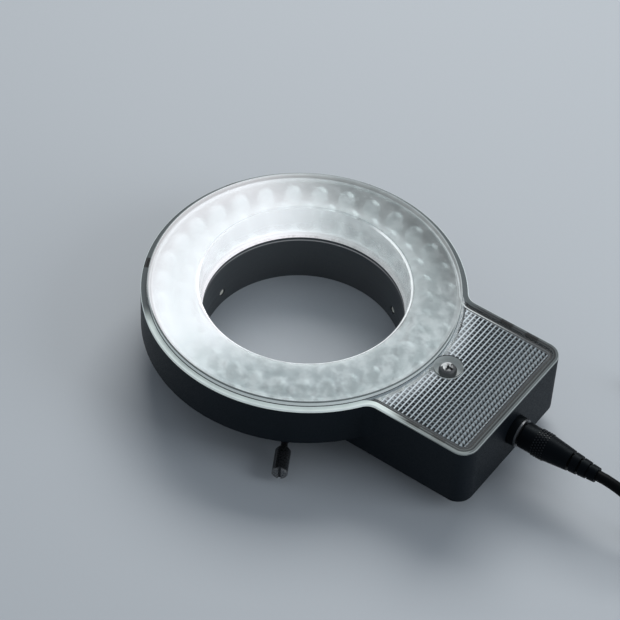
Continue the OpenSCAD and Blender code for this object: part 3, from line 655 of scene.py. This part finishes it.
def dress_nodes():
    """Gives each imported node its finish, apart from those that pieces of this script replace."""
    black = finish(
        "black_moulding", rgb(0.0024, 0.0036, 0.0055), rgb(0.0036, 0.0052, 0.008), roughness=0.50,
        grain=2600, bump=0.2, shine=0.22, tint=rgb(0.62, 0.84, 1.0))
    zinc = finish(
        "zinc_plate", rgb(0.50, 0.51, 0.53), rgb(0.60, 0.61, 0.63), roughness=0.30, metallic=1.0,
        grain=1500)
    nickel = finish(
        "nickel_plate", rgb(0.62, 0.61, 0.58), rgb(0.75, 0.74, 0.71), roughness=0.16, metallic=1.0,
        grain=1200, bump=0.05)
    bezel = finish(
        "bezel_plate", rgb(0.17, 0.18, 0.19), rgb(0.22, 0.23, 0.24), roughness=0.42, metallic=1.0,
        grain=1200, bump=0.05)
    brass = finish("brass", rgb(0.62, 0.44, 0.16), rgb(0.72, 0.54, 0.22), roughness=0.3, metallic=1.0)
    nylon = finish("nylon", rgb(0.74, 0.72, 0.64), rgb(0.82, 0.80, 0.72), roughness=0.45, grain=1200)
    chip = finish(
        "chip_moulding", rgb(0.020, 0.020, 0.022), rgb(0.035, 0.035, 0.038), roughness=0.55, grain=2000)
    wire = finish("wire", rgb(0.35, 0.02, 0.02), rgb(0.48, 0.04, 0.03), roughness=0.4, grain=1500)
    ferrite = finish("ferrite", rgb(0.05, 0.048, 0.045), rgb(0.08, 0.076, 0.07), roughness=0.6, grain=1800)
    sleeve = finish("can_sleeve", rgb(0.03, 0.04, 0.09), rgb(0.05, 0.06, 0.13), roughness=0.3)
    socket = finish(
        "socket_moulding", rgb(0.002, 0.003, 0.004), rgb(0.004, 0.005, 0.006), roughness=0.5,
        grain=2400, shine=0.12, tint=BLUISH)
    rubber = finish(
        "plug_moulding", rgb(0.0014, 0.0020, 0.0030), rgb(0.0024, 0.0032, 0.0045), roughness=0.42,
        grain=3000, bump=0.25, shine=0.08, tint=BLUISH)
    strap = finish(
        "woven_strap", rgb(0.015, 0.015, 0.017), rgb(0.04, 0.04, 0.045), roughness=0.8,
        grain=2200, bump=0.6, depth=0.1)
    knob = knob_finish()
    lamp = lamp_finish()
    dress = {
        "housing": black,
        "mounting_collar": turned_finish(),
        "collar_screws": zinc,
        "cover_screw": screw_finish(),
        "cover_insert": brass,
        "lamp_board": lamp_board_finish(),
        "lamp_board_screws": zinc,
        "lamp_resistors": chip,
        "lamp_connector": nylon,
        "lamp_harness": wire,
        "driver_board": driver_board_finish(),
        "driver_board_screws": zinc,
        "driver_header": nylon,
        "driver_inductor": ferrite,
        "driver_capacitors": sleeve,
        "driver_chips": chip,
        "dc_socket": socket,
        "socket_bezel": bezel,
        "socket_pin": nickel,
        "plug_body": rubber,
        "plug_barrel": nickel,
        "coil_tie": strap,
        "far_plug_body": rubber,
        "far_plug_barrel": nickel,
    }
    for k in (1, 2, 3, 4):
        dress[f"lamp_segment_{k}"] = lamp
    for k in (1, 2, 3):
        dress[f"thumbscrew_{k}"] = knob
        dress[f"thumbscrew_tip_{k}"] = nylon
    for name, material in dress.items():
        mesh = nodes[name].data
        mesh.materials.clear()
        mesh.materials.append(material)


# Lead, in millimetres. The coil starts at its lowest y and lies between the lines of the two plugs
LEAD_D = cable_high[1] - cable_low[1]
LEAD_X = cable_high[0]
COIL_X = LEAD_X + LEAD_D
COIL_OUT_R = FAR_PLUG_Y / 2
COIL_IN_R = 14.1
COIL_Y = COIL_OUT_R
COIL_Z = cable_low[2] + LEAD_D / 2
COIL_START_ANGLE = 270
LAYERS = 4
LAYER_STEP = 4.2
COIL_END_Z = COIL_Z + (LAYERS - 1) * LAYER_STEP
STEPS_PER_TURN = 24
TURNS_PER_LAYER = 2.5
LEAD_BEVEL_STEPS = 4
LEAD_CURVE_STEPS = 6
# How the lead comes down: distance along x from the upper end, and share of the drop left
CABLE_FALL = [
    (0, 1), (3.4, 1), (8, 0.945), (13, 0.82), (18, 0.638), (23, 0.447), (28, 0.262), (33, 0.121),
    (39, 0.028), (46, 0), (51, 0),
]
TAIL_FALL = [
    (0, 1), (3.6, 1), (8.6, 0.89), (13.6, 0.692), (18.6, 0.457), (23.6, 0.213), (26.6, 0.077), (29.2, 0),
]


def coil_points():
    """The turns of the coil: a layer spirals in or out and then climbs in half a turn."""
    run = int(TURNS_PER_LAYER * STEPS_PER_TURN)
    climb = STEPS_PER_TURN // 2
    period = run + climb
    points = []
    for i in range(LAYERS * run + (LAYERS - 1) * climb + 1):
        layer, phase = divmod(i, period)
        share = min(phase, run) / run
        inward = layer % 2 == 0
        radius = COIL_OUT_R + (COIL_IN_R - COIL_OUT_R) * (share if inward else 1 - share)
        height = COIL_Z + LAYER_STEP * (layer + max(0, phase - run) / climb)
        angle = math.radians(COIL_START_ANGLE + 360 * i / STEPS_PER_TURN)
        points.append((COIL_X + radius * math.cos(angle), COIL_Y + radius * math.sin(angle), height))
    return points


def lead_points():
    cable = [(PLUG_END_X + x, 0, COIL_Z + share * (SOCKET_Z - COIL_Z)) for x, share in CABLE_FALL]
    cable.append((LEAD_X, 0, COIL_Z))
    tail = [
        (LEAD_X - x, FAR_PLUG_Y, FAR_PLUG_Z + share * (COIL_END_Z - FAR_PLUG_Z))
        for x, share in TAIL_FALL
    ]
    tail.append((FAR_PLUG_END_X, FAR_PLUG_Y, FAR_PLUG_Z))
    return [Vector(point) * MM for point in cable + coil_points() + tail]


def make_lead():
    """The lead's sheath as a round tube. The bevel is one metre, which each knot's radius scales down."""
    points = lead_points()
    curve = bpy.data.curves.new("lead", "CURVE")
    curve.dimensions = "3D"
    curve.bevel_depth = 1.0
    curve.bevel_resolution = LEAD_BEVEL_STEPS
    curve.resolution_u = LEAD_CURVE_STEPS
    curve.use_fill_caps = True
    spline = curve.splines.new("BEZIER")
    spline.bezier_points.add(len(points) - 1)
    for knot, place in zip(spline.bezier_points, points):
        knot.co = place
        knot.radius = LEAD_D / 2 * MM
        knot.handle_left_type = knot.handle_right_type = "AUTO"
    curve.materials.append(finish(
        "lead_sheath", rgb(0.002, 0.0026, 0.0034), rgb(0.0032, 0.004, 0.005), roughness=0.42,
        grain=1600, shine=0.06))
    lead = bpy.data.objects.new("lead", curve)
    scene.collection.objects.link(lead)
    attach(lead, "power_lead")
    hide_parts("lead_cable", "lead_coil", "lead_tail")


# Steps of the drawn loops, and the angle in degrees above which an edge of a smooth piece stays sharp
RING_STEPS = 144
ARC_STEPS = 10
FUNNEL_EDGE_STEPS = 8
CUP_STEPS = 48
SHARP_ANGLE = 30


def arc(centre, radius, start, end, steps):
    angles = [math.radians(start + (end - start) * i / steps) for i in range(steps + 1)]
    return [(centre[0] + radius * math.cos(a), centre[1] + radius * math.sin(a)) for a in angles]


def circle(centre, radius, steps):
    return arc(centre, radius, 0, 360 - 360 / steps, steps - 1)


def round_ring(radius):
    return circle((0, 0), radius, RING_STEPS)


def round_screw(radius):
    return circle((COVER_SCREW_X, 0), radius, CUP_STEPS)


def outline(inset):
    """Outline of ring and box, drawn in by inset, with the same number of points for every inset."""
    neck_y = BOX_HALF_W + NECK_R
    neck_x = math.sqrt((RING_R + NECK_R) ** 2 - neck_y ** 2)
    lean = math.degrees(math.atan2(neck_y, neck_x))
    corner_r = BOX_CORNER_R - inset
    corner_x = BOX_END_X - BOX_CORNER_R
    corner_y = BOX_HALF_W - BOX_CORNER_R
    return (
        arc((0, 0), RING_R - inset, lean, 360 - lean, RING_STEPS)[1:]
        + arc((neck_x, -neck_y), NECK_R + inset, 180 - lean, 90, ARC_STEPS)[1:]
        + arc((corner_x, -corner_y), corner_r, -90, 0, ARC_STEPS)
        + arc((corner_x, corner_y), corner_r, 0, 90, ARC_STEPS)
        + arc((neck_x, neck_y), NECK_R + inset, 270, 180 + lean, ARC_STEPS)
    )


def add_loop(shape, points, z):
    return [shape.verts.new(Vector((x, y, z)) * MM) for x, y in points]


def bridge(shape, low, high, number=0):
    """A band of faces between two loops, with the number of its material."""
    for i in range(len(low)):
        j = (i + 1) % len(low)
        shape.faces.new([low[i], low[j], high[j], high[i]]).material_index = number


def add_bands(shape, rows, draw, finishes, closed=False):
    """A loop for each row of size, height and finish, and a band in that finish from the loop before."""
    words = list(finishes)
    loops = [add_loop(shape, draw(size), z) for size, z, _ in rows]
    for k, (_, _, word) in enumerate(rows):
        if k > 0 or closed:
            bridge(shape, loops[k - 1], loops[k], words.index(word))
    return loops


def loop_edges(shape, loop):
    found = []
    for i, corner in enumerate(loop):
        pair = (corner, loop[(i + 1) % len(loop)])
        found.append(shape.edges.get(pair) or shape.edges.new(pair))
    return found


def cap(shape, loops):
    """Fills the flat region between an outer loop and the holes in it."""
    edges = [edge for loop in loops for edge in loop_edges(shape, loop)]
    bmesh.ops.triangle_fill(shape, use_beauty=True, use_dissolve=False, edges=edges)


def add_piece(name, shape, materials, body, smooth=False):
    """An object of a drawn shape, which rides a body. A smooth one is closed and faces outwards."""
    if smooth:
        bmesh.ops.recalc_face_normals(shape, faces=shape.faces)
    mesh = bpy.data.meshes.new(name)
    shape.to_mesh(mesh)
    shape.free()
    if smooth:
        mesh.shade_smooth()
        mesh.set_sharp_from_angle(angle=math.radians(SHARP_ANGLE))
    for material in materials:
        mesh.materials.append(material)
    piece = bpy.data.objects.new(name, mesh)
    scene.collection.objects.link(piece)
    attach(piece, body)
    return piece


def add_cover_piece(name, shape, finishes):
    piece = add_piece(name, shape, finishes.values(), "lamp", smooth=True)
    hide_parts("cover")


def ring_profile():
    """Radius, height and finish of the frosted ring's loops, from its outer wall's foot up and inwards."""
    slope = (FUNNEL_TOP_R - BORE_R) / (COVER_TOP - COLLAR_TOP)
    lean = math.degrees(math.atan(slope))
    edge_r = FUNNEL_TOP_R + FUNNEL_EDGE_R * (1 / math.cos(math.radians(lean)) - slope)
    edge_z = COVER_TOP - FUNNEL_EDGE_R
    under_r = BORE_R + slope * (COVER_UNDERSIDE - COLLAR_TOP) + FUNNEL_T
    under_z = COVER_TOP - TIER_T
    frosted = arc((edge_r, edge_z), FUNNEL_EDGE_R, 90, 180 - lean, FUNNEL_EDGE_STEPS) + [
        (BORE_R, COLLAR_TOP), (BORE_R + FUNNEL_T, COLLAR_TOP), (under_r, COVER_UNDERSIDE),
        (under_r, under_z), (TIER_IN_R, under_z), (TIER_IN_R, PLATE_UNDERSIDE), (TIER_R, PLATE_UNDERSIDE),
    ]
    return [
        (TIER_R, FLANGE_TOP + TIER_CREASE_H, "crease_shade"), (TIER_R, COVER_TOP - TIER_EDGE_R, "wall"),
        (TIER_R - TIER_EDGE_MIDDLE, COVER_TOP - TIER_EDGE_MIDDLE, "edge"),
        (TIER_R - TIER_EDGE_R, COVER_TOP, "edge"), *((r, z, "frost") for r, z in frosted),
    ]


def make_frosted_ring(crease_shade):
    finishes = {
        "frost": frosted_finish(),
        "edge": edge_finish("cover_tier_edge", rgb(0.20, 0.23, 0.23), glow=0.30, front_glow=0.0),
        "crease_shade": crease_shade,
        "wall": edge_finish("cover_tier_wall", rgb(0.48, 0.53, 0.53), glow=0.02, front_glow=0.20),
    }
    shape = bmesh.new()
    add_bands(shape, ring_profile(), round_ring, finishes, closed=True)
    add_cover_piece("cover_frosted_ring", shape, finishes)


# Inset or radius and height of each loop, and the finish of the band that ends there
PLATE_EDGE = [
    (RIB_OUT, PLATE_UNDERSIDE, "clear"), (RIB_OUT, COVER_UNDERSIDE, "clear"), (0, COVER_UNDERSIDE, "clear"),
    (0, FLANGE_TOP - FLANGE_EDGE_DROP, "flange"), (FLANGE_EDGE_INSET, FLANGE_TOP, "edge"),
    (FLANGE_W, FLANGE_TOP, "flange"), (FLANGE_INSIDE_W, FLANGE_TOP, "inside"),
    (FLANGE_LINE_W, FLANGE_TOP, "line"),
]
PLATE_INNER = [(PLATE_R, PLATE_UNDERSIDE, "clear"), (PLATE_R, FLANGE_TOP, "clear")]
PLATE_CUP = [
    (RECESS_R, FLANGE_TOP, "crease_shade"), (RECESS_R, FLANGE_TOP - RECESS_CREASE_H, "crease_shade"),
    (RECESS_R, RECESS_FLOOR, "cup"), (SCREW_HOLE_R, RECESS_FLOOR, "cup"), (SCREW_HOLE_R, CUP_BOTTOM, "cup"),
    (CUP_R, CUP_BOTTOM, "cup"), (CUP_R, PLATE_UNDERSIDE, "cup"),
]
RIB_SECTION = [
    (RIB_OUT, RIB_TOP, "side"), (RIB_OUT, RIB_BOTTOM, "side"), (RIB_IN, RIB_BOTTOM, "side"),
    (RIB_IN, RIB_TOP, "side"), (RIB_IN - RIB_SIDE_W, RIB_TOP, "side"), (RIB_IN - RIB_LIT_W, RIB_TOP, "lit"),
]


def make_clear_plate(crease_shade):
    finishes = {
        "clear": clear_finish(),
        "flange": flange_finish(
            "cover_flange", box_glow=0.28, box_grey=rgb(0.120, 0.138, 0.145),
            tongue_shade_colour=rgb(0.055, 0.060, 0.064)),
        "edge": edge_finish(
            "cover_edge", rgb(0.66, 0.74, 0.74), glow=0.14, front_glow=0.18, far_share=0.45),
        "inside": flange_finish(
            "cover_flange_inside", box_glow=0.04, box_grey=rgb(0.036, 0.041, 0.044),
            tongue_shade_colour=rgb(0.008, 0.009, 0.011)),
        "crease_shade": crease_shade,
        # Painted glow and pale colour in the screw's recess
        "cup": edge_finish("cover_cup", rgb(0.44, 0.48, 0.48), glow=0.09),
        "line": flange_finish(
            "cover_flange_line", box_glow=0.08, box_grey=rgb(0.060, 0.068, 0.072),
            tongue_shade_colour=rgb(0.012, 0.014, 0.016)),
    }
    shape = bmesh.new()
    edge = add_bands(shape, PLATE_EDGE, outline, finishes)
    inner = add_bands(shape, PLATE_INNER, round_ring, finishes)
    cup = add_bands(shape, PLATE_CUP, round_screw, finishes)
    cap(shape, [edge[0], inner[0], cup[-1]])
    cap(shape, [edge[-1], inner[-1], cup[0]])
    add_cover_piece("cover_clear_plate", shape, finishes)


def make_rib():
    finishes = {
        "lit": rib_finish(),
        "side": edge_finish("cover_rib_side", rgb(0.020, 0.022, 0.024), glow=0.0),
    }
    shape = bmesh.new()
    add_bands(shape, RIB_SECTION, outline, finishes, closed=True)
    add_cover_piece("cover_rib", shape, finishes)


def make_cover():
    # Dark bands where the cover's surfaces meet: painted shade in the creases and round the top of the
    # screw's recess
    crease_shade = edge_finish("cover_crease_shade", rgb(0.03, 0.035, 0.035), glow=0.0)
    make_frosted_ring(crease_shade)
    make_clear_plate(crease_shade)
    make_rib()


# Prism field under the box's part of the cover, in millimetres
PRISM_PITCH = 1.44
PRISM_DEPTH = 0.55
PRISM_Z = COVER_UNDERSIDE - 0.05
PRISM_END_X = 73.6
PRISM_FAR_X = (61, 73)
PRISM_CELLS_X = 21
PRISM_HALF_CELLS_Y = 16
PRISM_WELD = 0.002
RIDGE_ALONG_Y = 0.42
RIDGE_ALONG_X = 0.38
# Centre and radius of the circles that it keeps clear of: the ring and the screw's recess
PRISM_HOLES = (((0, 0), RING_R - 0.6), ((COVER_SCREW_X, 0), RECESS_R + 0.1))
# Finishes of the sides of a cell's pit, in turn
PIT_SIDES = ("facet_y", "facet_x", "facet_y", "facet_back")
# Painted lit and shaded tones of the clear prisms, standing in for the light that they pass on and reflect
PRISM_PAINTED_LIT = rgb(0.255, 0.315, 0.350)
PRISM_PAINTED_SHADE = rgb(0.010, 0.016, 0.022)
PRISM_PAINTED_DEEP_SHADE = rgb(0.005, 0.009, 0.013)
PRISM_SPECK = 0.15
PRISM_GLOW_START = RING_R - 1
# Painted colour near the ring and at the far end, painted glow at the ring and away from it, and how far
# that glow fades
PRISM_TONES = {
    "ridge": (PRISM_PAINTED_LIT, rgb(0.165, 0.205, 0.232), 0.45, 0.10, 14),
    "facet_x": (PRISM_PAINTED_SHADE, PRISM_PAINTED_SHADE, 0.32, 0.0, 5),
    "facet_y": (PRISM_PAINTED_DEEP_SHADE, PRISM_PAINTED_DEEP_SHADE, 0.18, 0.0, 4),
    "cross_ridge": (rgb(0.085, 0.112, 0.130), rgb(0.045, 0.060, 0.070), 0.40, 0.0, 6),
    "facet_back": (PRISM_PAINTED_SHADE, rgb(0.39, 0.46, 0.50), 0.32, 0.0, 5),
    "crossing": (PRISM_PAINTED_LIT, rgb(0.055, 0.070, 0.082), 0.45, 0.03, 14),
}


def prism_finish(name, colour, far_colour, near_glow, far_glow, fade):
    """A facet of the prism field, with painted tones and a painted glow, stronger close to the ring, that
    stand in for the lamps' light it passes on.
    """
    look = Look(name)
    tone = look.mix(look.ramp(look.x, *PRISM_FAR_X), colour, far_colour)
    dim = look.times(look.noise(1500), PRISM_SPECK)
    look.set(Base_Color=look.mix(dim, tone, BLACK), Roughness=0.2, Specular_IOR_Level=0.1)
    light = look.ramp(look.radius, PRISM_GLOW_START, RING_R + fade, near_glow, far_glow)
    look.glow(rgb(0.86, 0.94, 1.0), light, sampled=False)
    return look.material


def clip(polygon, normal, limit):
    """The part of a polygon, seen from above, with normal . point at least limit."""
    kept = []
    for i, here in enumerate(polygon):
        before = polygon[i - 1]
        a = before[0] * normal[0] + before[1] * normal[1] - limit
        b = here[0] * normal[0] + here[1] * normal[1] - limit
        if a * b < 0:
            share = a / (a - b)
            kept.append(tuple(p + (q - p) * share for p, q in zip(before, here)))
        if b >= 0:
            kept.append(here)
    return kept


def clear_of(polygon, centre, radius):
    """The part of a small polygon that lies outside a circle."""
    middle = [sum(p[i] for p in polygon) / len(polygon) - centre[i] for i in (0, 1)]
    length = math.hypot(*middle)
    normal = (middle[0] / length, middle[1] / length)
    return clip(polygon, normal, radius + normal[0] * centre[0] + normal[1] * centre[1])


def flat(x, end_x, y, end_y):
    """A rectangle at the top of the prism field."""
    return [(x, y, PRISM_Z), (end_x, y, PRISM_Z), (end_x, end_y, PRISM_Z), (x, end_y, PRISM_Z)]


def prism_cell(x, y):
    """The four facets of a cell's pit and the ridges on two sides of it, each as a finish and a polygon."""
    ridge_x = x + PRISM_PITCH - RIDGE_ALONG_Y
    ridge_y = y + PRISM_PITCH - RIDGE_ALONG_X
    end_x = x + PRISM_PITCH
    end_y = y + PRISM_PITCH
    pit = (halfway(x, ridge_x), halfway(y, ridge_y), PRISM_Z - PRISM_DEPTH)
    rim = flat(x, ridge_x, y, ridge_y)
    faces = [(word, [rim[i], rim[(i + 1) % 4], pit]) for i, word in enumerate(PIT_SIDES)]
    faces.append(("ridge", flat(ridge_x, end_x, y, ridge_y)))
    faces.append(("cross_ridge", flat(x, ridge_x, ridge_y, end_y)))
    faces.append(("crossing", flat(ridge_x, end_x, ridge_y, end_y)))
    return faces


def make_prism_field():
    words = list(PRISM_TONES)
    shape = bmesh.new()
    for i in range(PRISM_CELLS_X):
        x = PRISM_END_X - (i + 1) * PRISM_PITCH
        for j in range(-PRISM_HALF_CELLS_Y, PRISM_HALF_CELLS_Y):
            for word, face in prism_cell(x, j * PRISM_PITCH):
                for centre, radius in PRISM_HOLES:
                    if len(face) > 2:
                        face = clear_of(face, centre, radius)
                if len(face) > 2:
                    made = shape.faces.new([shape.verts.new(Vector(p) * MM) for p in face])
                    made.material_index = words.index(word)
    bmesh.ops.remove_doubles(shape, verts=shape.verts, dist=PRISM_WELD * MM)
    finishes = [prism_finish("prism_" + word, *tone) for word, tone in PRISM_TONES.items()]
    add_piece("prism_field", shape, finishes, "lamp")


# Raised dots round a plug's grip, in millimetres
DOT_ROWS = 5
DOT_STEP = 0.85
DOT_SIDE = 0.46
DOT_RISE = 0.24
DOTS_ROUND = 30
DOT_START = 5.1


def add_dot(shape, centre, angle):
    """A dot with its foot sunk in the grip and a smaller top."""
    turn = Matrix.Rotation(angle, 4, "X")
    loops = []
    for half, lift in ((DOT_SIDE / 2, -DOT_RISE), (DOT_SIDE / 3, DOT_RISE)):
        corners = [(-half, -half), (half, -half), (half, half), (-half, half)]
        places = [centre + turn @ Vector((x, y, PLUG_R + lift)) for x, y in corners]
        loops.append([shape.verts.new(place * MM) for place in places])
    foot, top = loops
    shape.faces.new(top)
    bridge(shape, foot, top)


def make_grip_dots(name, front, y, z, material):
    """Rows of dots round a plug, each row set off by half a step from the one before."""
    shape = bmesh.new()
    for row in range(DOT_ROWS):
        centre = Vector((front + DOT_START + row * DOT_STEP, y, z))
        for k in range(DOTS_ROUND):
            add_dot(shape, centre, 2 * math.pi * (k + 0.5 * (row % 2)) / DOTS_ROUND)
    add_piece(name, shape, [material], "power_lead")


def make_grips():
    grip = finish(
        "grip_dots", rgb(0.010, 0.012, 0.015), rgb(0.016, 0.019, 0.023), roughness=0.35,
        grain=3000, shine=0.3)
    make_grip_dots("plug_grip_dots", PLUG_X, 0, SOCKET_Z, grip)
    make_grip_dots("far_plug_grip_dots", FAR_PLUG_X, FAR_PLUG_Y, FAR_PLUG_Z, grip)


# Side of the floor in metres, and strength of the light from all round
FLOOR_SIDE = 6
SKY_STRENGTH = 0.30


def make_floor():
    bpy.ops.mesh.primitive_plane_add(size=FLOOR_SIDE)
    floor = bpy.context.object
    floor.name = "floor"
    look = Look("pale_floor")
    shade = look.noise(900, 2.0)
    look.set(Base_Color=look.mix(shade, rgb(0.50, 0.54, 0.58), rgb(0.51, 0.55, 0.59)), Roughness=0.6)
    floor.data.materials.append(look.material)


def add_light(name, size, place, aim, watts, colour):
    data = bpy.data.lights.new(name, "AREA")
    data.shape = "RECTANGLE"
    data.size, data.size_y = size
    data.energy = watts
    data.color = colour
    light = bpy.data.objects.new(name, data)
    light.location = place
    light.rotation_mode = "QUATERNION"
    light.rotation_quaternion = (Vector(aim) - Vector(place)).to_track_quat("-Z", "Y")
    scene.collection.objects.link(light)


def make_lighting():
    world = bpy.data.worlds.new("studio")
    world.use_nodes = True
    sky = world.node_tree.nodes["Background"]
    sky.inputs["Color"].default_value = rgb(0.80, 0.87, 0.95)
    sky.inputs["Strength"].default_value = SKY_STRENGTH
    scene.world = world
    add_light(
        "key", size=(0.9, 0.6), place=(-0.35, 0.75, 0.85), aim=(0, 0, 0.02), watts=9.0,
        colour=(1.0, 0.99, 0.97))
    add_light(
        "side", size=(0.5, 0.8), place=(0.95, 0.25, 0.45), aim=(0.05, 0, 0.02), watts=4.0,
        colour=(0.92, 0.96, 1.0))
    scene.view_settings.view_transform = "Standard"


make_camera()
make_lead()
dress_nodes()
make_cover()
make_prism_field()
make_grips()
make_floor()
make_lighting()

bpy.context.view_layer.update()
